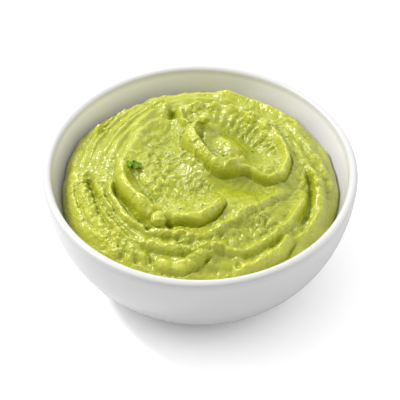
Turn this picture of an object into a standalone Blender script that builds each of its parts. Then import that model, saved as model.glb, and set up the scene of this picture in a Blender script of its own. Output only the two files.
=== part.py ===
"""Guacamole served in a round white porcelain bowl.

The bowl stands on its foot ring with the origin at the middle of the ring's underside, +Z up.
The dip is heaped in it and stirred with a spoon, which leaves two scoops, their curled lips and
the long ridges that wind round them. All sizes are in metres.
"""

import math

import bmesh
import bpy
import numpy as np

MM = 0.001

# Driving dimensions of the bowl. Depths are measured down from the top of the rim.
RIM_RADIUS = 65.0 * MM
BOWL_HEIGHT = 52.5 * MM
LIP_THICKNESS = 3.9 * MM
OUTER_DEPTH = 53.4 * MM
OUTER_BEND = (1.87, 3.8)
INNER_DEPTH = 47.0 * MM
INNER_BEND = (1.6, 3.4)
FOOT_RADIUS = 35.0 * MM
FOOT_WIDTH = 3.4 * MM
FOOT_ROUND = 0.6 * MM
RECESS_HEIGHT = 1.2 * MM

# Driving dimensions of the dip. It meets the bowl at the contact depth, below the top of the rim,
# rounds over at its edge and rises to the heap's top, above the rim.
CONTACT_GAP = 0.3 * MM
CONTACT_DEPTH = 16.0 * MM
EDGE_ROUND = 6.0 * MM
EDGE_TURN = 60
HEAP_TOP = 5.0 * MM
HEAP_POWER = 2.1
STIRRED_RADIUS = 57.0 * MM
STIRRED_FADE = 5.0 * MM

# Facets. Both pieces share those round the axis and down the wall, so that their gap is even.
SEGMENTS = 72
OUTSIDE_STEPS = 8
LIP_STEPS = 6
BARE_STEPS = 3
FILLED_STEPS = 6
EDGE_STEPS = 3
HEAP_RINGS = 26


def wall_depth(radius, rim, depth, bend):
    """Depth below the rim at which the wall has this radius."""
    down, out = bend
    return depth * (1 - (radius / rim) ** out) ** (1 / down)


def wall_radius(below, rim, depth, bend):
    """Radius of the wall at this depth below the rim."""
    down, out = bend
    return rim * (1 - (below / depth) ** down) ** (1 / out)


def arc(centre_r, centre_z, radius, start, end, steps):
    """Points of a circular arc in the (radius, height) plane, angles in degrees."""
    return [
        (
            centre_r + radius * math.cos(math.radians(start + (end - start) * i / steps)),
            centre_z + radius * math.sin(math.radians(start + (end - start) * i / steps)),
        )
        for i in range(steps + 1)
    ]


INNER_RIM = RIM_RADIUS - LIP_THICKNESS


def outer_wall():
    """The outside, from just under the lip down to the foot ring."""
    top = LIP_THICKNESS / 2
    bottom = wall_depth(FOOT_RADIUS, RIM_RADIUS, OUTER_DEPTH, OUTER_BEND)
    points = []
    for i in range(1, OUTSIDE_STEPS + 1):
        below = top + (bottom - top) * math.sin(i / OUTSIDE_STEPS * math.pi / 2)
        points.append((wall_radius(below, RIM_RADIUS, OUTER_DEPTH, OUTER_BEND), BOWL_HEIGHT - below))
    return points


def foot():
    """The foot ring: down its outside, across the flat face it stands on and up to the recess."""
    inside = FOOT_RADIUS - FOOT_WIDTH
    return [
        *arc(FOOT_RADIUS - FOOT_ROUND, FOOT_ROUND, FOOT_ROUND, 0, -90, 2),
        *arc(inside + FOOT_ROUND, FOOT_ROUND, FOOT_ROUND, -90, -180, 2),
        (inside - FOOT_ROUND, RECESS_HEIGHT),
        (0.0, RECESS_HEIGHT),
    ]


def hollow_angle(below):
    """How far round its curve the hollow is at this depth below the rim: 0 at the rim, 90 at the pole."""
    return math.asin((below / INNER_DEPTH) ** (INNER_BEND[0] / 2))


def hollow(start, end, steps, gap=0.0):
    """The hollow's curve between two of its angles, from the lower end up, set in by a gap."""
    down, out = INNER_BEND
    points = []
    for i in range(steps + 1):
        angle = end + (start - end) * i / steps
        radius = (INNER_RIM - gap) * max(math.cos(angle), 0.0) ** (2 / out)
        points.append((radius, BOWL_HEIGHT - (INNER_DEPTH - gap) * math.sin(angle) ** (2 / down)))
    return points


def bowl_profile():
    """The bowl's section, from the pole underneath, out round the wall and back to the pole inside."""
    half_lip = LIP_THICKNESS / 2
    lip = arc(RIM_RADIUS - half_lip, BOWL_HEIGHT - half_lip, half_lip, 0, 180, LIP_STEPS)
    bare = hollow(hollow_angle(half_lip), hollow_angle(CONTACT_DEPTH), BARE_STEPS)[:-1]
    filled = hollow(hollow_angle(CONTACT_DEPTH), math.pi / 2, FILLED_STEPS)[:-1]
    return [*reversed(foot()), *reversed(outer_wall()), *lip, *reversed(bare), *reversed(filled)]


def turned(name, profile):
    """A closed mesh made by spinning a section about Z, from its pole underneath to its pole on top."""
    mesh = bpy.data.meshes.new(name)
    bm = bmesh.new()
    verts = [bm.verts.new((radius, 0, height)) for radius, height in profile]
    edges = [bm.edges.new(pair) for pair in zip(verts, verts[1:])]
    bmesh.ops.spin(
        bm,
        geom=verts + edges,
        cent=(0, 0, 0),
        axis=(0, 0, 1),
        dvec=(0, 0, 0),
        angle=math.tau,
        steps=SEGMENTS,
        use_merge=True,
    )
    bmesh.ops.remove_doubles(bm, verts=bm.verts, dist=0.01 * MM)
    bmesh.ops.recalc_face_normals(bm, faces=bm.faces)
    bm.to_mesh(mesh)
    bm.free()
    mesh.shade_smooth()
    return mesh


# The spoon's strokes, seen from above in millimetres: X to the right, Y to the back.
# Each runs counterclockwise, so that the hollow it encloses lies on its left.


def spoon_route(points, steps=80):
    """A smooth curve through the points, resampled evenly (Catmull-Rom), and its length."""
    p = np.array(points, float) * MM
    p = np.vstack([2 * p[0] - p[1], p, 2 * p[-1] - p[-2]])
    t = np.linspace(0, len(points) - 1, 3 * steps)
    i = np.minimum(t.astype(int), len(points) - 2)
    u = (t - i)[:, None]
    a, b, c, d = p[i], p[i + 1], p[i + 2], p[i + 3]
    curve = 0.5 * (2 * b + (c - a) * u + (2 * a - 5 * b + 4 * c - d) * u**2 + (3 * b - a - 3 * c + d) * u**3)
    way = np.concatenate([[0], np.cumsum(np.linalg.norm(np.diff(curve, axis=0), axis=1))])
    even = np.linspace(0, way[-1], steps)
    return np.stack([np.interp(even, way, curve[:, k]) for k in (0, 1)], 1), way[-1]


def beside(xy, points):
    """For each place: how far along the route it is, 0 to 1, and its distance to the left of it."""
    route, length = spoon_route(points)
    heading = np.gradient(route, axis=0)
    heading /= np.linalg.norm(heading, axis=1)[:, None]
    nearest = ((xy[:, None, :] - route[None, :, :]) ** 2).sum(2).argmin(1)
    offset = xy - route[nearest]
    heading = heading[nearest]
    ahead = (offset * heading).sum(1)
    side = heading[:, 0] * offset[:, 1] - heading[:, 1] * offset[:, 0]
    last = len(route) - 1
    past = np.where(nearest == 0, -ahead, np.where(nearest == last, ahead, 0)).clip(0)
    along = (nearest / last + ahead / length).clip(0, 1)
    return along, np.copysign(np.hypot(side, past), side)


def faded(along, start, end):
    """1 along a stroke, running out to 0 over its first and last shares."""
    rise = np.clip(along / start, 0, 1)
    fall = np.clip((1 - along) / end, 0, 1)
    return np.sin(rise * math.pi / 2) * np.sin(fall * math.pi / 2)


def lip(xy, points, height, inner, outer, start=0.15, end=0.15):
    """A curled lip: it sweeps up from the hollow on its left and rolls over steeply on its right."""
    along, left = beside(xy, points)
    hollow_side = (1 - np.clip(left / (inner * MM), 0, 1)) ** 2
    outside = (1 - np.clip(-left / (outer * MM), 0, 1) ** 2) ** 0.8
    return height * MM * np.where(left > 0, hollow_side, outside) * faded(along, start, end)


def scoop(xy, points, depth, half_width, start=0.2, end=0.2):
    """A trough with a round floor, pressed along the route."""
    along, left = beside(xy, points)
    across = np.clip(np.abs(left) / (half_width * MM), 0, 1)
    return -depth * MM * (1 - across**2) ** 2 * faded(along, start, end)


def knob(xy, x, y, height, radius):
    """A small lump left where the spoon was lifted away."""
    distance = np.linalg.norm(xy - np.array((x, y)) * MM, axis=1) / (radius * MM)
    return height * MM * (1 - np.clip(distance, 0, 1) ** 2) ** 2


def stirred(xy):
    """Height of the stirred surface above the plain heap, for an array of points seen from above."""
    relief = np.zeros(len(xy))
    # The two hollows that the spoon was pressed into, and the furrows round them.
    relief += scoop(xy, [(7, 22), (15, 21), (23, 14), (24, 6), (13, 3)], 5.5, 11)
    relief += scoop(xy, [(-13, 34), (-17, 20), (-17, 4), (-11, -11), (0, -21)], 5.0, 13)
    relief += scoop(xy, [(12, -37), (25, -28), (34, -19), (41, -6)], 2.2, 8)
    relief += scoop(xy, [(-32, -12), (-29, -20), (-25, -26), (-18, -32)], 1.6, 4)
    relief += scoop(xy, [(45, 2), (45.5, -8), (44, -16), (39, -29)], 2.6, 4)
    relief += scoop(xy, [(-47, 4), (-45, -4), (-43, -11), (-38, -23)], 1.8, 4)
    # The high back, and the ridges that run down from the peak to the left.
    relief += lip(xy, [(48, 22), (36, 37), (26, 43), (15, 48), (4, 49), (-8, 49), (-22, 46)], 3.0, 8, 6)
    relief += lip(xy, [(-17, 42), (-30, 31), (-37, 18), (-41, 4)], 1.6, 5, 4)
    relief += lip(xy, [(-26, 45), (-38, 34), (-46, 20), (-50, 7)], 1.6, 5, 4)
    # Long ridges that wind round the left and the front.
    relief += lip(xy, [(-53, 4), (-53, -9), (-48, -22), (-40, -31), (-30, -39), (-20, -44)], 1.8, 6, 4)
    relief += lip(xy, [(-42, -8), (-36, -25), (-25, -36), (-13, -42), (2, -42)], 2.0, 5, 4)
    relief += lip(xy, [(-37, -6), (-31, -23), (-22, -32), (-11, -36), (2, -36)], 1.8, 4, 4)
    relief += lip(xy, [(-8, -37), (2, -36), (11, -30), (20, -23), (30, -15), (39, -8)], 1.8, 6, 4)
    relief += lip(xy, [(-3, -42), (10, -43), (20, -41), (29, -35), (36, -27), (42, -15), (43, -8)], 2.4, 5, 4)
    relief += lip(xy, [(38, -34), (45, -26), (48, -17), (47, -5), (46, 5)], 2.0, 4, 5)
    relief += lip(xy, [(-17, -45), (-13, -48), (-7, -49), (-2, -47), (4, -42)], 2.2, 5, 4)
    relief += lip(xy, [(12, -50), (22, -47), (30, -41), (35, -33)], 2.0, 5, 4)
    # The ridge behind the right hollow, up to the peak at the back.
    relief += lip(xy, [(33, 15), (25, 24), (15.6, 30), (5.3, 35), (-1.5, 34.5), (-11, 35)], 3.6, 6, 5)
    # The roll that curls down between the hollows, and the lip that runs on from it round the right one.
    relief += lip(xy, [(3, 21.5), (-1.2, 17), (-0.2, 10), (4.9, -0.2), (13, -5.6)], 5.6, 4, 7, 0.06, 0.3)
    relief += lip(xy, [(9, -4.6), (15, -5.6), (21, -5.6), (29.6, -8.6), (36, 1), (34, 12), (29, 21)], 3.6, 4, 4)
    # The left hollow's lip, from the peak round to the front, where it folds over.
    relief += lip(xy, [(-14, 37), (-24, 22), (-31, 3), (-29, -12), (-20, -22), (-15, -26)], 3.0, 6, 5, 0.05)
    relief += lip(xy, [(-15, -26), (-5, -28.5), (4, -25.5), (9, -19)], 3.0, 6, 5.5, 0.08, 0.2)
    # Lumps and pits where strokes end.
    relief += knob(xy, -16.5, -30, 2.4, 4.5)
    relief += knob(xy, 2.2, 20.8, 2.6, 4.5)
    relief += knob(xy, -14.5, 36.5, 2.0, 5)
    relief += knob(xy, 13, 50, 2.4, 6)
    relief += knob(xy, -47, 29, 2.2, 5)
    relief += knob(xy, -11.5, 31, -2.4, 5)
    return relief


def heap_profile():
    """The heap's section: from its pole on the bowl up the wall, round its edge and in to the top."""
    wall = hollow(hollow_angle(CONTACT_DEPTH), math.pi / 2, FILLED_STEPS, CONTACT_GAP)
    contact_r, contact_z = wall[-1]
    edge = arc(contact_r - EDGE_ROUND, contact_z, EDGE_ROUND, 0, EDGE_TURN, EDGE_STEPS)[1:]
    edge_r, edge_z = edge[-1]
    rise = BOWL_HEIGHT + HEAP_TOP - edge_z
    top = []
    for i in range(1, HEAP_RINGS + 1):
        share = 1 - i / HEAP_RINGS
        top.append((edge_r * share, edge_z + rise * (1 - share**HEAP_POWER)))
    return [*wall, *edge, *top]


def stir(mesh):
    """Moves the heap's top surface to where the spoon left it. What touches the bowl stays."""
    co = np.empty(len(mesh.vertices) * 3)
    mesh.vertices.foreach_get("co", co)
    co = co.reshape(-1, 3)
    radius = np.linalg.norm(co[:, :2], axis=1)
    hold = np.clip((STIRRED_RADIUS - radius) / STIRRED_FADE, 0, 1)
    hold[co[:, 2] < BOWL_HEIGHT - CONTACT_DEPTH] = 0
    co[:, 2] += stirred(co[:, :2]) * hold
    mesh.vertices.foreach_set("co", co.ravel())
    mesh.update()


def material(name, colour, roughness, subsurface=0.0):
    made = bpy.data.materials.new(name)
    made.use_nodes = True
    shader = made.node_tree.nodes["Principled BSDF"]
    shader.inputs["Base Color"].default_value = (*colour, 1)
    shader.inputs["Roughness"].default_value = roughness
    shader.inputs["Metallic"].default_value = 0.0
    shader.inputs["Subsurface Weight"].default_value = subsurface
    return made


def placed(name, mesh, finish):
    mesh.materials.append(finish)
    made = bpy.data.objects.new(name, mesh)
    bpy.context.scene.collection.objects.link(made)
    return made


for old in list(bpy.data.objects):
    bpy.data.objects.remove(old)

porcelain = material("porcelain", (0.77, 0.77, 0.78), 0.15)
avocado = material("avocado_dip", (0.37, 0.41, 0.02), 0.35, 0.2)

placed("bowl", turned("bowl", bowl_profile()), porcelain)

heap = turned("guacamole", heap_profile())
stir(heap)
placed("guacamole", heap, avocado)
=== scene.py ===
"""A round white bowl heaped with guacamole, stirred into two scoops and the ridges round them."""

import math

import bmesh
import bpy
import numpy as np
from mathutils import Matrix, Vector


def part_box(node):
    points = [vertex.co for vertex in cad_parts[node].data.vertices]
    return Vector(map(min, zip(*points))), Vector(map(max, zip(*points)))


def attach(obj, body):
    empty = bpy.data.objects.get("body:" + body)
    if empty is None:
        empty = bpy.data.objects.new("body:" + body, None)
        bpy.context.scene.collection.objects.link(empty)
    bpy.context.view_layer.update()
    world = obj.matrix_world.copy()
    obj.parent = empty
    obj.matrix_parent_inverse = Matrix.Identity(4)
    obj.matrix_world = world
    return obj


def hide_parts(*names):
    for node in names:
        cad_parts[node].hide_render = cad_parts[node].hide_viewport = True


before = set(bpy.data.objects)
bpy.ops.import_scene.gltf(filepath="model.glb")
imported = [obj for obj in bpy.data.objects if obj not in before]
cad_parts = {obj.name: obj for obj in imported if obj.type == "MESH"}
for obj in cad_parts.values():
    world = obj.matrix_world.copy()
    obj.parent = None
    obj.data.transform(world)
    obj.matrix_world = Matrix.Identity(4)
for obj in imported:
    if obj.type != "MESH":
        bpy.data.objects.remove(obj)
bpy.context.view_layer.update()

MM = 0.001

# ------------------------------------------------------------------------------------------------
# The bowl. White porcelain, thrown on a wheel with a rounded lip and a foot ring, and dipped in a
# clear gloss glaze that leaves the foot's underside bare. It is turned here the same way: one
# section, spun about the axis.

bowl_low, bowl_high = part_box("bowl")
RIM = bowl_high.x
RIM_TOP = bowl_high.z
LIP = 3.9 * MM
OUTER_DEPTH = 53.4 * MM
INNER_DEPTH = 47.0 * MM
FOOT = 35.0 * MM
FOOT_FACE = 3.4 * MM
FOOT_EDGE = 0.5 * MM
RECESS = 1.2 * MM
OUTER_DOWN, OUTER_OUT = 1.87, 3.8
INNER_DOWN, INNER_OUT = 1.6, 3.4
INNER_RIM = RIM - LIP


def arc(centre_r, centre_z, radius, start, end, steps):
    turns = [math.radians(start + (end - start) * i / steps) for i in range(steps + 1)]
    return [(centre_r + radius * math.cos(a), centre_z + radius * math.sin(a)) for a in turns]


def outside_wall(steps):
    """The outside, from under the lip down to the foot ring."""
    last = OUTER_DEPTH * (1 - (FOOT / RIM) ** OUTER_OUT) ** (1 / OUTER_DOWN)
    points = []
    for i in range(1, steps + 1):
        down = LIP / 2 + (last - LIP / 2) * math.sin(i / steps * math.pi / 2)
        points.append((RIM * (1 - (down / OUTER_DEPTH) ** OUTER_DOWN) ** (1 / OUTER_OUT), RIM_TOP - down))
    return points


def hollow_radius(down):
    """How wide the inside is at a depth below the rim."""
    return INNER_RIM * (1 - (down / INNER_DEPTH) ** INNER_DOWN) ** (1 / INNER_OUT)


def hollow_wall(steps):
    """The inside, from under the lip down to the middle."""
    first = math.asin((LIP / 2 / INNER_DEPTH) ** (INNER_DOWN / 2))
    points = []
    for i in range(1, steps + 1):
        turn = first + (math.pi / 2 - first) * i / steps
        points.append((INNER_RIM * max(math.cos(turn), 0) ** (2 / INNER_OUT),
                       RIM_TOP - INNER_DEPTH * math.sin(turn) ** (2 / INNER_DOWN)))
    return points


def foot_ring():
    """From the wall down, across the face it stands on, and in under the bowl."""
    inside = FOOT - FOOT_FACE
    return [
        *arc(FOOT - FOOT_EDGE, FOOT_EDGE, FOOT_EDGE, 0, -90, 6),
        *arc(inside + FOOT_EDGE, FOOT_EDGE, FOOT_EDGE, -90, -180, 6),
        *arc(inside - FOOT_EDGE, RECESS - FOOT_EDGE, FOOT_EDGE, 0, 90, 5),
        (0.0, RECESS),
    ]


def spun(name, section, turns):
    """A closed piece turned about Z from a section that runs from one pole to the other."""
    mesh = bpy.data.meshes.new(name)
    bm = bmesh.new()
    verts = [bm.verts.new((r, 0, z)) for r, z in section]
    edges = [bm.edges.new(pair) for pair in zip(verts, verts[1:])]
    bmesh.ops.spin(bm, geom=verts + edges, cent=(0, 0, 0), axis=(0, 0, 1), dvec=(0, 0, 0),
                   angle=math.tau, steps=turns, use_merge=True)
    bmesh.ops.remove_doubles(bm, verts=bm.verts, dist=0.01 * MM)
    bmesh.ops.recalc_face_normals(bm, faces=bm.faces)
    bm.to_mesh(mesh)
    bm.free()
    mesh.shade_smooth()
    piece = bpy.data.objects.new(name, mesh)
    bpy.context.scene.collection.objects.link(piece)
    return piece


def glaze():
    """White gloss glaze, with painted shade on it. The outside is painted darker than the inside; the inside is tinted
    blue against the green light the dip throws on it, and darker the deeper it goes; the lip is darkest and a little
    warmer, to tone down the light on its top."""
    made = bpy.data.materials.new("white_glaze")
    made.use_nodes = True
    nodes, links = made.node_tree.nodes, made.node_tree.links
    shader = nodes["Principled BSDF"]
    shader.inputs["Roughness"].default_value = 0.28
    shader.inputs["Coat Weight"].default_value = 0.5
    shader.inputs["Coat Roughness"].default_value = 0.1
    inside = nodes.new("ShaderNodeAttribute")
    inside.attribute_name = "inside"
    # Painted shade: the outside darker than the inside.
    outside_shade = nodes.new("ShaderNodeMix")
    outside_shade.data_type = "RGBA"
    outside_shade.inputs["A"].default_value = (0.65, 0.645, 0.655, 1)
    links.new(inside.outputs["Fac"], outside_shade.inputs["Factor"])
    # Painted shade: the inside darker the deeper it goes, and tinted blue against the green light of the dip.
    deep = nodes.new("ShaderNodeAttribute")
    deep.attribute_name = "deep"
    depth_shade = nodes.new("ShaderNodeMix")
    depth_shade.data_type = "RGBA"
    depth_shade.inputs["A"].default_value = (0.9, 0.87, 1.0, 1)
    depth_shade.inputs["B"].default_value = (0.64, 0.62, 0.73, 1)
    links.new(deep.outputs["Fac"], depth_shade.inputs["Factor"])
    links.new(depth_shade.outputs["Result"], outside_shade.inputs["B"])
    # Painted shade: the lip darkest, to tone down the light on its top.
    over_lip = nodes.new("ShaderNodeAttribute")
    over_lip.attribute_name = "over_lip"
    lip_shade = nodes.new("ShaderNodeMix")
    lip_shade.data_type = "RGBA"
    lip_shade.inputs["B"].default_value = (0.55, 0.545, 0.54, 1)
    links.new(over_lip.outputs["Fac"], lip_shade.inputs["Factor"])
    links.new(outside_shade.outputs["Result"], lip_shade.inputs["A"])
    links.new(lip_shade.outputs["Result"], shader.inputs["Base Color"])
    place = nodes.new("ShaderNodeTexCoord")
    ripple = nodes.new("ShaderNodeTexNoise")
    ripple.inputs["Scale"].default_value = 45
    links.new(place.outputs["Object"], ripple.inputs["Vector"])
    bump = nodes.new("ShaderNodeBump")
    bump.inputs["Strength"].default_value = 0.15
    bump.inputs["Distance"].default_value = 0.2 * MM
    links.new(ripple.outputs["Fac"], bump.inputs["Height"])
    links.new(bump.outputs["Normal"], shader.inputs["Normal"])
    return made


def mark(mesh, name, values):
    """Stores one number for each point of the mesh, for its material to read."""
    mesh.attributes.new(name, "FLOAT", "POINT").data.foreach_set("value", values)


lip = arc(RIM - LIP / 2, RIM_TOP - LIP / 2, LIP / 2, 0, 180, 16)
bowl = spun("porcelain_bowl", [*reversed(foot_ring()), *reversed(outside_wall(30)), *lip, *hollow_wall(30)], 192)
points = np.array([v.co for v in bowl.data.vertices])
radius, depth = np.hypot(points[:, 0], points[:, 1]), np.clip(RIM_TOP - points[:, 2], 0, INNER_DEPTH)
# Where the painted shade lies: inside keeps the outside darker, deep darkens the inside with depth, and over_lip
# darkens the lip.
mark(bowl.data, "inside", np.clip((hollow_radius(depth) + LIP / 2 - radius) / (LIP / 2), 0, 1))
mark(bowl.data, "deep", np.clip((depth / MM - 1.5) / 9, 0, 1))
mark(bowl.data, "over_lip", np.clip(1.5 - depth / (2.0 * MM), 0, 1))
bowl.data.materials.append(glaze())
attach(bowl, "root")
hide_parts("bowl")

# ------------------------------------------------------------------------------------------------
# The guacamole. Mashed avocado, moist and lumpy, heaped above the rim and stirred with a spoon.
# One fine sheet is laid over the heap, and the spoon's strokes then press and lift it.

CONTACT = 16.0 * MM
EDGE_ROUND = 6.0 * MM
EDGE_TURN = 60
HEAP_TOP = 5.0 * MM
HEAP_POWER = 2.1
INTO_WALL = 0.2 * MM
SHEET = 300


def heap_section():
    """Radius and height along the heap from its top, over the edge and down to the bowl's wall."""
    wall_r = hollow_radius(CONTACT) + INTO_WALL
    edge = arc(wall_r - EDGE_ROUND, RIM_TOP - CONTACT, EDGE_ROUND, EDGE_TURN, 0, 12)
    edge_r, edge_z = edge[0]
    rise = RIM_TOP + HEAP_TOP - edge_z
    top = [(edge_r * i / 60, edge_z + rise * (1 - (i / 60) ** HEAP_POWER)) for i in range(60)]
    return np.array([*top, *edge])


def underside_section():
    """The rest of the way: down the wall and in to the middle of the bowl, out of sight."""
    return [(hollow_radius(d * MM) + INTO_WALL, RIM_TOP - d * MM) for d in (19, 25, 33, 42)]


def laid_sheet():
    """A square sheet of even squares, pulled round into a disc and hung over the heap."""
    bm = bmesh.new()
    bmesh.ops.create_grid(bm, x_segments=SHEET, y_segments=SHEET, size=1.0)
    under = underside_section()
    for ring in range(len(under) + 1):
        rim = [e for e in bm.edges if e.is_boundary]
        hem = bmesh.ops.extrude_edge_only(bm, edges=rim)["geom"]
        hem = [g for g in hem if isinstance(g, bmesh.types.BMVert)]
        grow = (ring + 2) / (ring + 1)
        bmesh.ops.scale(bm, vec=(grow, grow, 1), verts=hem)
    last = [v for v in bm.verts if max(abs(v.co.x), abs(v.co.y)) > len(under) + 1.5]
    bmesh.ops.pointmerge(bm, verts=last, merge_co=(0, 0, -1))
    mesh = bpy.data.meshes.new("guacamole_dip")
    bm.to_mesh(mesh)
    bm.free()
    return mesh


def read_points(mesh):
    co = np.empty(len(mesh.vertices) * 3)
    mesh.vertices.foreach_get("co", co)
    return co.reshape(-1, 3)


def write_points(mesh, co):
    mesh.vertices.foreach_set("co", co.ravel())
    mesh.update()


def hang(co):
    """Places the flat sheet on the heap. Also says how far out of the sheet each point lies."""
    x, y = co[:, 0], co[:, 1]
    share = np.maximum(abs(x), abs(y))
    safe = np.maximum(share, 1e-9)
    sideways = abs(x) >= abs(y)
    with np.errstate(divide="ignore", invalid="ignore"):
        turn = np.where(sideways, math.pi / 4 * y / np.where(sideways, x, 1),
                        math.pi / 2 - math.pi / 4 * x / np.where(sideways, 1, y))
    turn = np.nan_to_num(np.where(np.where(sideways, x, y) < 0, turn + math.pi, turn))
    section = heap_section()
    length = np.concatenate([[0], np.cumsum(np.linalg.norm(np.diff(section, axis=0), axis=1))])
    way = np.minimum(safe, 1) * length[-1]
    r = np.interp(way, length, section[:, 0])
    z = np.interp(way, length, section[:, 1])
    for ring, (ring_r, ring_z) in enumerate(underside_section()):
        here = np.rint(share) == ring + 2
        r[here] = ring_r
        z[here] = ring_z
    pole = co[:, 2] < -0.5
    r[pole] = 0
    z[pole] = RIM_TOP - INNER_DEPTH - INTO_WALL
    share[pole] = len(underside_section()) + 2
    return np.stack([r * np.cos(turn), r * np.sin(turn), z], 1), share


def cloudy(x, y, seed):
    """Smooth gradient noise in the plane, about -1 to 1, one swell to each unit."""
    cell_x, cell_y = np.floor(x).astype(np.int64), np.floor(y).astype(np.int64)
    dx, dy = x - cell_x, y - cell_y

    def corner(i, j):
        mixed = ((cell_x + i) * 374761393 + (cell_y + j) * 668265263 + seed * 974634777) & 0xFFFFFFFF
        mixed = ((mixed ^ (mixed >> 13)) * 1274126177) & 0xFFFFFFFF
        turn = ((mixed ^ (mixed >> 16)) & 0xFFFF) / 65536 * math.tau
        return np.cos(turn) * (dx - i) + np.sin(turn) * (dy - j)

    u = dx**3 * (dx * (dx * 6 - 15) + 10)
    v = dy**3 * (dy * (dy * 6 - 15) + 10)
    near = corner(0, 0) * (1 - u) + corner(1, 0) * u
    far = corner(0, 1) * (1 - u) + corner(1, 1) * u
    return 1.6 * (near * (1 - v) + far * v)


def lumpy(x, y, seed):
    """Rounded lumps of many sizes pressed together, 0 to 1, about one to each unit."""
    cell_x, cell_y = np.floor(x).astype(np.int64), np.floor(y).astype(np.int64)
    tallest = np.zeros(len(x))
    for i in (-1, 0, 1):
        for j in (-1, 0, 1):
            mixed = ((cell_x + i) * 374761393 + (cell_y + j) * 668265263 + seed * 974634777) & 0xFFFFFFFF
            mixed = ((mixed ^ (mixed >> 13)) * 1274126177) & 0xFFFFFFFF
            mixed = mixed ^ (mixed >> 16)
            centre_x = cell_x + i + (mixed & 255) / 256
            centre_y = cell_y + j + (mixed >> 8 & 255) / 256
            radius = 0.35 + 0.5 * (mixed >> 16 & 255) / 256
            apart = np.hypot(x - centre_x, y - centre_y) / radius
            tallest = np.maximum(tallest, radius * np.sqrt(np.clip(1 - apart**2, 0, 1)))
    return tallest / 0.85


def evened(values, mesh, rounds):
    """The values, each replaced by the mean of its neighbours' over and over."""
    ends = np.empty(len(mesh.edges) * 2, np.int32)
    mesh.edges.foreach_get("vertices", ends)
    one, other = ends.reshape(-1, 2).T
    count = np.bincount(ends, minlength=len(values))
    for _ in range(rounds):
        values = (np.bincount(one, values[other], len(values)) + np.bincount(other, values[one], len(values))) / count
    return values


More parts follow.
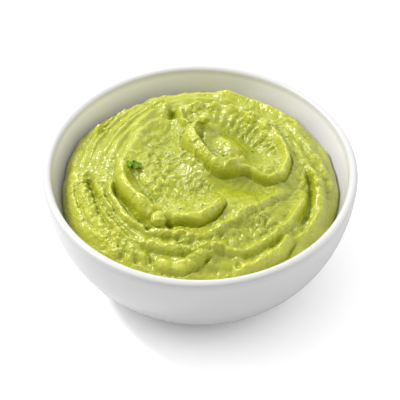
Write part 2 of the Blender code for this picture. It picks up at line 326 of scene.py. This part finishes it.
class Dip:
    """The heap seen from above, in millimetres, and what the spoon has done to it so far."""

    def __init__(self, xy):
        self.xy = xy
        self.lift = np.zeros(len(xy))
        self.push = np.zeros((len(xy), 2))
        self.wander = cloudy(xy[:, 0] / 6, xy[:, 1] / 6, 1)
        self.crumb = cloudy(xy[:, 0] / 2.4, xy[:, 1] / 2.4, 2)

    def near(self, points, reach):
        points = np.array(points, float)
        inside = (self.xy > points.min(0) - reach) & (self.xy < points.max(0) + reach)
        return np.flatnonzero(inside.all(1))

    def route(self, points, spacing=1.0):
        """A smooth curve through the points, resampled evenly (Catmull-Rom), and its length."""
        p = np.array(points, float)
        p = np.vstack([2 * p[0] - p[1], p, 2 * p[-1] - p[-2]])
        t = np.linspace(0, len(points) - 1, 24 * (len(points) - 1) + 1)
        i = np.minimum(t.astype(int), len(points) - 2)
        u = (t - i)[:, None]
        a, b, c, d = p[i], p[i + 1], p[i + 2], p[i + 3]
        curve = 0.5 * (2 * b + (c - a) * u + (2 * a - 5 * b + 4 * c - d) * u**2 + (3 * b - a - 3 * c + d) * u**3)
        way = np.concatenate([[0], np.cumsum(np.linalg.norm(np.diff(curve, axis=0), axis=1))])
        even = np.linspace(0, way[-1], max(int(way[-1] / spacing), 8))
        return np.stack([np.interp(even, way, curve[:, k]) for k in (0, 1)], 1), way[-1]

    def beside(self, some, points):
        """How far along the route each point is, how far left of it, the heading, and its length."""
        route, length = self.route(points)
        heading = np.gradient(route, axis=0)
        heading /= np.linalg.norm(heading, axis=1)[:, None]
        xy = self.xy[some]
        nearest = ((route**2).sum(1) - 2 * xy @ route.T).argmin(1)
        offset = xy - route[nearest]
        heading = heading[nearest]
        ahead = (offset * heading).sum(1)
        side = heading[:, 0] * offset[:, 1] - heading[:, 1] * offset[:, 0]
        last = len(route) - 1
        past = np.where(nearest == 0, -ahead, np.where(nearest == last, ahead, 0)).clip(0)
        along = (nearest * length / last + ahead).clip(0, length)
        return along, np.copysign(np.hypot(side, past), side), heading, length

    def fade(self, along, length, start, end):
        rise = np.clip(along / (start * length), 0, 1)
        fall = np.clip((length - along) / (end * length), 0, 1)
        return np.sin(rise * math.pi / 2) * np.sin(fall * math.pi / 2)

    def swell(self, points, amount, spread):
        """A broad rise, or with a negative amount a broad hollow, along the route."""
        route, length = self.route(points, 2.0)
        strength = self.fade(np.linspace(0, length, len(route)), length, 0.1, 0.1)
        some = self.near(points, spread * 3.2)
        apart = ((self.xy[some][:, None] - route[None]) ** 2).sum(2)
        step = length / (len(route) - 1)
        blur = np.exp(-apart / (2 * spread**2)) @ strength
        self.lift[some] += amount * blur * step / (math.sqrt(math.tau) * spread)

    def lip(self, points, height, inner, outer, lean=0.0, start=0.12, end=0.15, foot=0.0, crisp=0.6):
        """A rolled lip. It sweeps up out of the hollow on its left, rounds over, and drops on its
        right, where it can lean out over its own foot."""
        some = self.near(points, max(inner, np.max(outer) + 6) + 1)
        along, left, heading, length = self.beside(some, points)
        left = left + 0.45 * self.wander[some] + 0.15 * self.crumb[some]
        height, outer = (np.interp(along / length, np.linspace(0, 1, np.size(v)), np.atleast_1d(v))
                         for v in (height, outer))
        fade = self.fade(along, length, start, end)
        uneven = 1 + 0.16 * cloudy(along / 5, along * 0 + 3.3, 5) + 0.1 * self.crumb[some]
        rounded = np.sqrt(left**2 + crisp**2) - crisp
        sweep = (1 - np.clip(rounded / inner, 0, 1)) ** 2
        shoulder = (1 - np.clip(-left / outer, 0, 1) ** 1.9) ** 0.85
        skirt = (1 - np.clip(-left / (outer + 6), 0, 1)) ** 2
        drop = 0.8 * shoulder + 0.2 * skirt
        self.lift[some] += height * uneven * fade * np.where(left > 0, sweep, drop)
        self.lift[some] -= foot * fade * np.exp(-(((left + outer + 0.1) / 0.65) ** 2))
        tip = np.exp(-(((left + 0.6 * outer) / (0.5 * outer + 0.3)) ** 2)) * fade * lean
        self.push[some] += np.stack([heading[:, 1], -heading[:, 0]], 1) * tip[:, None]

    def fan(self, first, last, count, height, inner, outer):
        """Ridges side by side, spread evenly from one route to another."""
        first, last = np.array(first, float), np.array(last, float)
        for i in range(count):
            share = i / (count - 1)
            tall = height * (1 + 0.35 * math.sin(2.4 * i))
            self.lip(first * (1 - share) + last * share, tall, inner, outer, 0, 0.12, 0.3)

    def groove(self, points, depth, width):
        some = self.near(points, width * 3 + 2)
        along, left, _, length = self.beside(some, points)
        left = left + 0.3 * self.wander[some]
        self.lift[some] -= depth * np.exp(-((left / width) ** 2)) * self.fade(along, length, 0.2, 0.2)

    def comb(self, points, height, pitch, width):
        """Small ridges side by side across the route, such as a spoon leaves as it is drawn up a wall."""
        some = self.near(points, width * 2.5)
        along, left, _, length = self.beside(some, points)
        wave = np.cos(math.tau * along / pitch + 1.8 * self.wander[some]) * (1 + 0.5 * self.crumb[some])
        self.lift[some] += height * wave * np.exp(-((left / width) ** 2)) * self.fade(along, length, 0.15, 0.15)

    def knobs(self, places, height, radius):
        """Lumps left where the spoon came away; with a negative height, pits."""
        for x, y in places:
            apart = np.clip(np.hypot(self.xy[:, 0] - x, self.xy[:, 1] - y) / radius, 0, 1)
            self.lift += height * (1 - apart**2) ** 2

    def ball(self, x, y, height, radius):
        """A round lump that sits up on the surface."""
        apart = np.hypot(self.xy[:, 0] - x, self.xy[:, 1] - y) + 0.25 * self.crumb
        self.lift += height * (1 - np.clip(apart / radius, 0, 1) ** 2.4) ** 0.6


def stir(dip):
    """Every stroke, outer ones first, so that the ones nearer the middle lie over them."""
    dip.swell([(7, 22), (15, 20), (22, 14), (23, 6), (15, 3)], -5.5, 4.6)
    dip.swell([(-12, 28), (-17, 16), (-19, 4), (-16, -11), (-7, -22)], -2.6, 5.0)
    dip.swell([(-10, 28), (-12, 12), (-10, -4), (-4, -16), (3, -22)], -3.4, 5.0)
    dip.swell([(15, -36), (25, -28), (34, -19), (40, -8)], -1.6, 4.0)
    dip.swell([(-6, -11), (4, -14), (14, -13), (26, -14)], -2.8, 4.5)
    dip.swell([(5, -9.5), (12, -11), (22, -13.5), (31, -12.5)], -1.8, 2.6)
    dip.swell([(-26, 42), (-12, 47), (2, 48), (14, 48), (28, 44), (40, 35), (48, 22)], 2.4, 5.0)

    # The back and the fan of ridges that runs down from the peak to the left.
    dip.lip([(44, 30), (36, 37), (26, 43), (15, 48), (4, 49), (-8, 49), (-18, 47)], 1.8, 5, 4, 0, 0.2, 0.2)
    dip.knobs([(13, 50)], 2.0, 9)
    dip.knobs([(-21, 46)], 2.4, 10)
    dip.fan([(-17.5, 37), (-26, 26), (-33.5, 13.5), (-38, 0)], [(-26, 45), (-38, 34), (-46, 20), (-50, 7)], 5, 3.0, 3.0, 2.4)
    dip.knobs([(-44.5, 27.5)], 4.6, 4.6)
    dip.knobs([(-40.5, 24.5)], -1.8, 2.6)
    dip.knobs([(-53, 4)], 2.2, 5)
    dip.knobs([(-46.5, 1)], -1.6, 2.5)
    dip.knobs([(-45.5, -2.5), (-45, -6)], -2.2, 2.6)
    dip.groove([(-46.5, 2), (-45.5, -4), (-43, -11), (-39, -19), (-34, -27), (-28, -34), (-22, -39)], 2.4, 1.0)

    # Long ridges round the left and the front.
    dip.lip([(-54, 0), (-53, -9), (-48, -24), (-41, -32), (-33, -38)], 1.6, 4, 3, 0.2, 0.12, 0.15, 0.2)
    dip.lip([(-50, -4), (-46.5, -14), (-44, -21), (-40, -27.5), (-33, -34.5), (-27, -39.5), (-20, -43)],
            1.8, 3.5, 2.6, 0.2, 0.15, 0.2, 0.5)
    dip.knobs([(-34, -40)], 1.8, 4)
    dip.knobs([(-28, -43.5), (-22, -44.5)], 1.6, 3)
    dip.knobs([(-31, -42.5), (-25, -45), (-19, -46)], -1.2, 1.6)
    dip.lip([(-42, -8), (-39, -18), (-35.5, -25.5), (-31, -31.5), (-25, -36.5), (-19, -39.5), (-13, -42), (-6, -43),
             (2, -42)], 2.2, 4, 2.4, 0.2, 0.15, 0.2, 0.8)
    dip.lip([(-37, -6), (-35, -15), (-31, -23.5), (-27.5, -28.5), (-22.5, -32.5), (-17, -35.5), (-11, -36.5), (-2, -37)],
            2.2, 3, 2.2, 0.2, 0.12, 0.2, 0.8)
    dip.lip([(-8, -38), (1, -38), (6, -36), (9.4, -33), (13.5, -30.5), (17.6, -27), (23.4, -22), (29.5, -17),
             (34, -13), (38, -8)], 1.7, 3, 2.0, 0, 0.15, 0.25, 0.3)
    dip.lip([(-3, -42.5), (5, -42), (10, -43), (15.5, -43.5), (20.5, -41.5), (25, -38.5), (29, -35), (33, -31),
             (36, -27.5), (38.5, -22.5), (41.5, -16), (43, -9)], 2.2, 2.8, 1.7, 0.2, 0.12, 0.2, 0.8)
    dip.knobs([(9, -40.5), (13.5, -39.8), (6, -39)], 1.2, 2.2)
    dip.groove([(45, 2), (45.5, -8), (44.5, -15), (42.5, -22), (40, -28)], 2.4, 1.1)
    dip.lip([(38, -34), (42, -31), (45.5, -26), (48, -20), (48, -13), (47.5, -5), (47, 3)], 2.0, 2.0, 4.0)
    dip.lip([(50, -16), (49.5, -10), (46.5, -1), (42, 10), (38, 19), (33, 27)], 2.0, 3, 3)
    dip.lip([(56, -6), (55, 0), (52, 5), (48.4, 12.6), (42, 23), (36, 31)], 2.0, 3, 3)
    dip.lip([(-17, -45), (-13, -48), (-7, -48.8), (-2.5, -47), (1, -44.5), (4, -42)], 3.0, 3.5, 3.0, 0.6, 0.15, 0.12, 1.2)
    dip.lip([(6, -41), (5.5, -44), (4.5, -47), (4, -50)], 1.4, 1.5, 1.5)
    dip.lip([(13, -50), (18, -48.5), (22, -46.8), (26, -45), (30, -41.5), (33, -37.5), (35, -33)],
            3.2, 2.6, 3.2, 0.5, 0.15, 0.08, 1.6)
    dip.knobs([(15, -45.5)], 1.6, 3)
    dip.knobs([(9, -43.5), (15, -48.5)], -1.6, 1.8)

    # The ridge behind the right scoop, combed on the side that faces it.
    dip.lip([(34, 15), (31, 20.5), (26.5, 25), (21, 29), (15, 32), (9, 34.5), (3, 35), (-3, 34.5), (-8, 34), (-11, 35)],
            (3.4, 4.4, 4.2, 3.6, 3.2), 7, 4, 0, 0.2, 0.1)
    dip.knobs([(-1, 34.5), (7, 34.5), (13.5, 32), (21, 28), (28, 22.5), (33.5, 14.5), (35.5, 8.5)], 1.3, 3.2)
    dip.comb([(3, 30.5), (9, 28.5), (14, 26), (19.5, 21.5), (25, 16.5), (29, 11.5), (32, 5)], 0.45, 3.6, 3.0)
    dip.groove([(-8, 40), (-1, 41), (6, 41), (14, 38.5), (21, 34.5), (28, 30), (34, 24), (39, 16), (41, 6)], 2.4, 2.2)
    # The roll between the scoops. It hooks over at the top, swells into a lumpy shoulder on the left and
    # ends in a spur, and a thin lip runs on from the spur round the right scoop.
    dip.swell([(-4, 14), (-4, 8), (-2, 2), (3, -3)], 1.6, 2.6)
    dip.swell([(4.6, 16.5), (4.8, 11), (7.5, 6), (12, 2)], -3.2, 2.2)
    dip.lip([(2.8, 20.6), (-0.2, 19.6), (-2.2, 17), (-2.6, 13), (-1.6, 8.4), (0.4, 3.6), (3.8, -1.4), (7.6, -4.6), (12.4, -5.8),
             (17.5, -5.2), (21, -5.6), (25, -8), (29.6, -8.4), (33.8, -5), (35.8, 2.5), (35.2, 9.5), (32.8, 15.5),
             (29.5, 20.5)], (3.8, 4.4, 4.2, 3.6, 3.2, 3.8, 3.8, 3.6, 3.2), 3.0, (3.5, 5.4, 3.8, 3.2, 2.0, 1.4, 1.4, 1.8, 2.4),
            0.5, 0.02, 0.12, 1.3, 0.4)
    dip.knobs([(2, 20.4)], 2.6, 3.0)
    dip.lip([(10, -5.4), (14, -4), (16.2, -1.8), (17.6, 1)], (2.4, 4.4, 4.6), 1.6, 1.9, 0, 0.25, 0.1)
    dip.knobs([(-4.5, 10), (-5.5, 5), (-2, 1), (-3, 6), (1.5, -4), (-3, -2.5)], 0.9, 1.8)
    dip.groove([(0.8, 18), (0.4, 13.3), (1.8, 8.5), (4.4, 4.5), (8, 1.4)], 2.4, 1.5)
    dip.knobs([(12.3, 3.8)], 2.0, 1.9)
    dip.knobs([(10, 3.6)], -1.2, 1.4)
    # The left scoop's lip, from the peak down and round under it.
    dip.lip([(-14, 37), (-20, 28.5), (-25.5, 19.5), (-29.5, 9), (-31.5, 1), (-31, -7), (-28.5, -13.5), (-24.8, -19),
             (-21, -23.3), (-17, -27)], (1.2, 1.8, 2.0, 1.8), 5, 3.6, 0, 0.04, 0.08)
    dip.lip([(-30.5, 4), (-31.5, -3), (-31, -8), (-28.8, -14), (-25, -19.5), (-21.2, -23.8), (-17, -27.5)],
            (2.0, 2.8, 3.0), 2.4, 3.6, 0.5, 0.2, 0.06, 0.6, 0.4)
    dip.groove([(-27, -3), (-26.5, -8), (-24, -13), (-20, -18), (-15.5, -21.5)], 2.0, 2.3)
    dip.lip([(-14.5, -28), (-10, -29.6), (-5, -30.3), (0, -29.8), (4, -27.8), (7, -24.2), (8.8, -20)],
            3.2, 4, (2.6, 2.8, 2.2), 0.6, 0.04, 0.2, 2.0, 0.4)
    dip.groove([(-35, -9), (-33.5, -14), (-30.5, -20), (-26.5, -26), (-22.5, -30), (-19, -33)], 3.0, 1.4)
    dip.ball(-16.5, -30.5, 1.6, 3.2)
    dip.knobs([(-12, -32.5), (-20.5, -33)], -2.6, 2.0)
    dip.groove([(-11.5, 36), (-11.5, 32.5), (-11.5, 29)], 2.8, 1.6)
    dip.lip([(-9.5, 34), (-8.3, 29.5), (-6.5, 25), (-4, 21.5)], 2.8, 1.8, 1.8)
    dip.knobs([(-15, 37.5)], 3.6, 3.6)
    dip.knobs([(-3.5, 24)], -1.2, 1.4)


def roughen(dip):
    """The streaks that follow the spoon round, and the lumps of avocado under the surface."""
    x, y = dip.xy[:, 0] - 2, dip.xy[:, 1] - 6
    turn, away = np.arctan2(y, x), np.hypot(x, y)
    dip.lift += 0.45 * cloudy(away / 2.4, turn * 3, 21) + 0.1 * cloudy(away / 1.2, turn * 8, 22)
    px, py = dip.xy[:, 0], dip.xy[:, 1]
    grain = np.clip(0.5 + 0.5 * cloudy(px / 13, py / 13, 41), 0.15, 1)
    for smooth_x, smooth_y, spread in (
        (-36, 20, 12), (-24, 34, 8), (17, -16, 7), (0, -31, 4), (14, 14, 6), (-27, -14, 5), (22, -10, 4), (35, 8, 4), (-6, 46, 8),
        (14, 43, 6),
    ):
        grain *= 1 - 0.85 * np.exp(-((px - smooth_x) ** 2 + (py - smooth_y) ** 2) / spread**2)
    for lumps_x, lumps_y, spread in (
        (0, 4, 5), (2, -13, 5), (-12, 2, 7), (-15, -12, 6), (23, 29, 6), (-48, -6, 7), (-42, -15, 6), (-45, -22, 6), (47, -2, 7), (-36, -36, 7),
        (-6, -40, 5), (28, -31, 6), (24, -27, 6),
    ):
        grain += 0.5 * np.exp(-((px - lumps_x) ** 2 + (py - lumps_y) ** 2) / spread**2)
    dip.grain = np.clip(grain, 0, 1.2)
    dip.lift += 0.35 * cloudy(px / 4.5, py / 4.5, 33)
    dip.lift += 1.1 * grain * lumpy(px / 3.0, py / 3.0, 51)
    dip.lift += 0.8 * grain * lumpy(px / 1.6, py / 1.6, 52)


def avocado():
    """Moist green mash: light and dark flesh, fibres too fine to model, and a wet sheen, with painted light on the tops
    of ridges and lumps and painted shade, and less sheen, in the hollows.
    """
    made = bpy.data.materials.new("avocado_mash")
    made.use_nodes = True
    nodes, links = made.node_tree.nodes, made.node_tree.links
    shader = nodes["Principled BSDF"]
    shader.inputs["Roughness"].default_value = 0.4
    shader.inputs["Specular IOR Level"].default_value = 0.55
    shader.inputs["IOR"].default_value = 1.42
    shader.inputs["Subsurface Weight"].default_value = 0.2
    shader.inputs["Subsurface Radius"].default_value = (1.0, 0.9, 0.25)
    shader.inputs["Subsurface Scale"].default_value = 1.0 * MM
    shader.inputs["Coat Roughness"].default_value = 0.22
    place = nodes.new("ShaderNodeTexCoord")
    patches = nodes.new("ShaderNodeTexNoise")
    patches.inputs["Scale"].default_value = 160
    patches.inputs["Detail"].default_value = 5
    patches.inputs["Roughness"].default_value = 0.6
    links.new(place.outputs["Object"], patches.inputs["Vector"])
    flesh = nodes.new("ShaderNodeValToRGB")
    flesh.color_ramp.elements[0].position = 0.3
    flesh.color_ramp.elements[0].color = (0.322, 0.355, 0.004, 1)
    flesh.color_ramp.elements[1].position = 0.7
    flesh.color_ramp.elements[1].color = (0.385, 0.415, 0.011, 1)
    links.new(patches.outputs["Fac"], flesh.inputs["Fac"])
    # Painted light and shade: lighter and paler on the tops of ridges and lumps, darker and greener in the hollows.
    crest = nodes.new("ShaderNodeAttribute")
    crest.attribute_name = "crest"
    painted_light_and_shade = nodes.new("ShaderNodeMix")
    painted_light_and_shade.data_type = "RGBA"
    painted_light_and_shade.inputs["A"].default_value = (0.66, 0.69, 0.4, 1)
    painted_light_and_shade.inputs["B"].default_value = (1.22, 1.18, 2.6, 1)
    links.new(crest.outputs["Fac"], painted_light_and_shade.inputs["Factor"])
    # Less coat, and so less sheen, in the hollows: painted shade on the reflections.
    wet = nodes.new("ShaderNodeMapRange")
    wet.inputs["To Min"].default_value = 0.25
    wet.inputs["To Max"].default_value = 0.85
    links.new(crest.outputs["Fac"], wet.inputs["Value"])
    links.new(wet.outputs["Result"], shader.inputs["Coat Weight"])
    tint = nodes.new("ShaderNodeMix")
    tint.data_type = "RGBA"
    tint.blend_type = "MULTIPLY"
    tint.inputs["Factor"].default_value = 1
    links.new(flesh.outputs["Color"], tint.inputs["A"])
    links.new(painted_light_and_shade.outputs["Result"], tint.inputs["B"])
    links.new(tint.outputs["Result"], shader.inputs["Base Color"])
    grain = nodes.new("ShaderNodeTexVoronoi")
    grain.feature = "SMOOTH_F1"
    grain.inputs["Scale"].default_value = 750
    grain.inputs["Detail"].default_value = 1.5
    grain.inputs["Smoothness"].default_value = 0.5
    links.new(place.outputs["Object"], grain.inputs["Vector"])
    bump = nodes.new("ShaderNodeBump")
    bump.invert = True
    bump.inputs["Distance"].default_value = 0.4 * MM
    coarse = nodes.new("ShaderNodeAttribute")
    coarse.attribute_name = "coarse"
    links.new(coarse.outputs["Fac"], bump.inputs["Strength"])
    links.new(grain.outputs["Distance"], bump.inputs["Height"])
    links.new(bump.outputs["Normal"], shader.inputs["Normal"])
    links.new(bump.outputs["Normal"], shader.inputs["Coat Normal"])
    return made


heap_mesh = laid_sheet()
placed, share = hang(read_points(heap_mesh))
top = share <= 1
dip = Dip(placed[top, :2] / MM)
stir(dip)
roughen(dip)
radius = np.hypot(dip.xy[:, 0], dip.xy[:, 1])
turn = np.arctan2(dip.xy[:, 1], dip.xy[:, 0])
hold = np.clip((56.5 - radius) / 4.0, 0, 1)
edge = 2.0 * np.exp(-(((turn - 1.0) / 0.8) ** 2)) + 2.6 * np.exp(-(((turn - 2.55) / 0.3) ** 2))
edge += 0.8 * cloudy(turn * 7, turn * 0 + 0.5, 8)
rise = dip.lift * hold + edge * (1 - hold)
was_wall = hollow_radius(np.clip(RIM_TOP - placed[top, 2], 0, None)) + INTO_WALL
placed[top, :2] += dip.push * hold[:, None] * MM
placed[top, 2] += rise * MM
now_wall = hollow_radius(np.clip(RIM_TOP - placed[top, 2], 0, None)) + INTO_WALL
placed[top, :2] *= 1 + (now_wall / was_wall - 1)[:, None] * (1 - hold)[:, None]
write_points(heap_mesh, placed)
coarse = np.full(len(placed), 0.3)
coarse[top] = np.clip(0.25 + 0.65 * dip.grain, 0, 1)
mark(heap_mesh, "coarse", coarse)
# The crest mark: how far each point stands above its surroundings, near and broad, which the material turns into
# painted light on the tops and painted shade in the hollows.
tall = placed[:, 2] / MM
small_swells = evened(tall, heap_mesh, 100)
broad_swells = evened(small_swells, heap_mesh, 400)
crest = 0.5 + 0.22 * (tall - small_swells) + 0.1 * (small_swells - broad_swells)
mark(heap_mesh, "crest", np.clip(np.where(top, crest, 0.3), 0, 1))
heap_mesh.shade_smooth()
guacamole = bpy.data.objects.new("guacamole_dip", heap_mesh)
bpy.context.scene.collection.objects.link(guacamole)
heap_mesh.materials.append(avocado())
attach(guacamole, "root")
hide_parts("guacamole")



def surface_at(x, y):
    """The point of the stirred surface nearest to a place seen from above, in metres."""
    top_points = placed[top]
    nearest = np.hypot(top_points[:, 0] / MM - x, top_points[:, 1] / MM - y).argmin()
    return Vector(top_points[nearest])


# ------------------------------------------------------------------------------------------------
# The two lumps. Bits of avocado that the spoon missed: one at the end of the left ridge, one on
# top of the roll between the scoops. They are half sunk in the dip, and flesh of the same kind.


def lump(name, place, size, squash, seed):
    bm = bmesh.new()
    bmesh.ops.create_icosphere(bm, subdivisions=5, radius=size * MM)
    for vert, (x, y, z) in zip(bm.verts, np.array([v.co for v in bm.verts]) / MM):
        dent = 0.45 * cloudy(np.array([x / 2.6 + 7]), np.array([y / 2.6 + z / 3.5]), seed)[0]
        vert.co *= 1 + dent / size
    bmesh.ops.scale(bm, vec=squash, verts=bm.verts)
    bmesh.ops.translate(bm, vec=place, verts=bm.verts)
    mesh = bpy.data.meshes.new(name)
    bm.to_mesh(mesh)
    bm.free()
    mesh.shade_smooth()
    mark(mesh, "coarse", np.full(len(mesh.vertices), 0.4))
    # Marked high, so the lumps take the painted light of the tops.
    mark(mesh, "crest", np.full(len(mesh.vertices), 0.85))
    mesh.materials.append(heap_mesh.materials[0])
    piece = bpy.data.objects.new(name, mesh)
    bpy.context.scene.collection.objects.link(piece)
    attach(piece, "root")


lump("avocado_lump", surface_at(-16.5, -30.5) + Vector((0, 0, -0.6 * MM)), 3.3, (1.05, 1, 0.9), 61)
lump("curled_tip", surface_at(1.8, 20.4) + Vector((0, 0, -0.4 * MM)), 2.6, (1.05, 1, 0.85), 62)

# ------------------------------------------------------------------------------------------------
# The herb. Two bits of chopped green leaf, curled and wet, that were stirred in and lie on the surface by the
# left scoop. The darker bit is also painted shade: its dark colour stands for the shade on the lip's inner face where
# it lies.


def leaf_bit(name, place, turn, long, wide, curl, colour):
    bm = bmesh.new()
    bmesh.ops.create_grid(bm, x_segments=14, y_segments=10, size=1.0)
    for vert in bm.verts:
        u, w = vert.co.x, vert.co.y
        across = w * wide * math.sqrt(max(1 - u * u, 0.04)) * (1 + 0.25 * math.sin(4 * u + turn))
        height = curl * (w * w + 0.5 * u * u) + 0.15 * math.sin(5 * u + 3 * w)
        vert.co = Vector((u * long, across, height)) * MM
    bmesh.ops.solidify(bm, geom=bm.faces[:], thickness=0.3 * MM)
    bmesh.ops.recalc_face_normals(bm, faces=bm.faces)
    bmesh.ops.rotate(bm, cent=(0, 0, 0), matrix=Matrix.Rotation(turn, 3, "Z"), verts=bm.verts)
    bmesh.ops.translate(bm, vec=place, verts=bm.verts)
    mesh = bpy.data.meshes.new(name)
    bm.to_mesh(mesh)
    bm.free()
    mesh.shade_smooth()
    made = bpy.data.materials.new(name)
    made.use_nodes = True
    shader = made.node_tree.nodes["Principled BSDF"]
    shader.inputs["Base Color"].default_value = (*colour, 1)
    shader.inputs["Roughness"].default_value = 0.5
    shader.inputs["Specular IOR Level"].default_value = 0.2
    mesh.materials.append(made)
    piece = bpy.data.objects.new(name, mesh)
    bpy.context.scene.collection.objects.link(piece)
    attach(piece, "root")


leaf_bit("light_leaf_bit", surface_at(-29, -1.6) + Vector((0, 0, 0.4 * MM)), 1.9, 1.7, 1.2, 0.7, (0.22, 0.36, 0.015))
# Part dark leaf, part painted shade on the lip's inner face.
leaf_bit("dark_leaf_and_painted_shade", surface_at(-26.2, -2) + Vector((0, 0, 0.4 * MM)), -0.7, 2.4, 1.9, 0.9, (0.11, 0.2, 0.004))

# ------------------------------------------------------------------------------------------------
# The specks. A few tiny dark bits of pepper and skin, stirred in, that show on the surface.

bm = bmesh.new()
for speck_x, speck_y, size in ((22, 12, 0.4), (-8, -26, 0.3), (31, 8, 0.25), (12, 22, 0.25), (-14, 8, 0.22),
                               (24, -27, 0.3), (-5, -6, 0.22)):
    grain = bmesh.ops.create_icosphere(bm, subdivisions=2, radius=size * MM)["verts"]
    bmesh.ops.translate(bm, vec=surface_at(speck_x, speck_y), verts=grain)
speck_mesh = bpy.data.meshes.new("pepper_specks")
bm.to_mesh(speck_mesh)
bm.free()
speck_mesh.shade_smooth()
dark = bpy.data.materials.new("dark_speck")
dark.use_nodes = True
dark.node_tree.nodes["Principled BSDF"].inputs["Base Color"].default_value = (0.09, 0.09, 0.016, 1)
dark.node_tree.nodes["Principled BSDF"].inputs["Roughness"].default_value = 0.5
speck_mesh.materials.append(dark)
specks = bpy.data.objects.new("pepper_specks", speck_mesh)
bpy.context.scene.collection.objects.link(specks)
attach(specks, "root")

# ------------------------------------------------------------------------------------------------
# The table, the light and the camera: a white studio sweep, one large soft light high at the
# back left, and white all round.

table_mesh = bpy.data.meshes.new("table")
bm = bmesh.new()
bmesh.ops.create_grid(bm, x_segments=1, y_segments=1, size=3.0)
bm.to_mesh(table_mesh)
bm.free()
table = bpy.data.objects.new("table", table_mesh)
bpy.context.scene.collection.objects.link(table)
white = bpy.data.materials.new("white_sweep")
white.use_nodes = True
nodes, links = white.node_tree.nodes, white.node_tree.links
shader = nodes["Principled BSDF"]
shader.inputs["Roughness"].default_value = 0.8
shader.inputs["Specular IOR Level"].default_value = 0.0
seen = nodes.new("ShaderNodeLightPath")
paper = nodes.new("ShaderNodeMix")
paper.data_type = "RGBA"
paper.inputs["A"].default_value = (0.7, 0.7, 0.7, 1)
paper.inputs["B"].default_value = (1.2, 1.2, 1.2, 1)
links.new(seen.outputs["Is Camera Ray"], paper.inputs["Factor"])
links.new(paper.outputs["Result"], shader.inputs["Base Color"])
table_mesh.materials.append(white)

world = bpy.data.worlds.new("studio")
world.use_nodes = True
nodes, links = world.node_tree.nodes, world.node_tree.links
nodes["Background"].inputs["Color"].default_value = (1, 1, 1, 1)
place = nodes.new("ShaderNodeTexCoord")
glow = None
for way, tight, strength in (
    ((-0.6, 0, 0.8), 6, 2.3),
    ((0, -0.75, 0.65), 6, 0.6),
    ((0.7, 0, 0.7), 6, 1.1),
    ((1, 0, 0.3), 6, 1.8),
    ((0, 1, 0.3), 6, 2.2),
):
    towards = nodes.new("ShaderNodeVectorMath")
    towards.operation = "DOT_PRODUCT"
    towards.inputs[1].default_value = Vector(way).normalized()
    links.new(place.outputs["Generated"], towards.inputs[0])
    ahead = nodes.new("ShaderNodeMath")
    ahead.operation = "MAXIMUM"
    ahead.inputs[1].default_value = 0
    links.new(towards.outputs["Value"], ahead.inputs[0])
    tighter = nodes.new("ShaderNodeMath")
    tighter.operation = "POWER"
    tighter.inputs[1].default_value = tight
    links.new(ahead.outputs["Value"], tighter.inputs[0])
    lit = nodes.new("ShaderNodeMath")
    lit.operation = "MULTIPLY_ADD"
    lit.inputs[1].default_value = strength
    lit.inputs[2].default_value = 0
    links.new(tighter.outputs["Value"], lit.inputs[0])
    if glow:
        links.new(glow.outputs["Value"], lit.inputs[2])
    glow = lit
links.new(glow.outputs["Value"], nodes["Background"].inputs["Strength"])
bpy.context.scene.world = world

key_data = bpy.data.lights.new("window", "AREA")
key_data.shape = "DISK"
key_data.size = 0.28
key_data.energy = 11
key = bpy.data.objects.new("window", key_data)
key.location = (-0.66, 0.36, 0.9)
key.rotation_euler = (Vector((0, 0, 0.05)) - key.location).to_track_quat("-Z", "Y").to_euler()
bpy.context.scene.collection.objects.link(key)

camera_data = bpy.data.cameras.new("camera")
camera_data.lens = 128.0
camera_data.sensor_width = 36.0
camera_data.clip_start = 0.01
camera = bpy.data.objects.new("camera", camera_data)
ELEVATION = math.radians(44.348)
PITCH = math.radians(45.73)
camera.location = (0, -9 * RIM * math.cos(ELEVATION), RIM_TOP + 9 * RIM * math.sin(ELEVATION))
camera.rotation_euler = (math.pi / 2 - PITCH, 0, 0)
bpy.context.scene.collection.objects.link(camera)
bpy.context.scene.camera = camera

bpy.context.scene.view_settings.view_transform = "Standard"
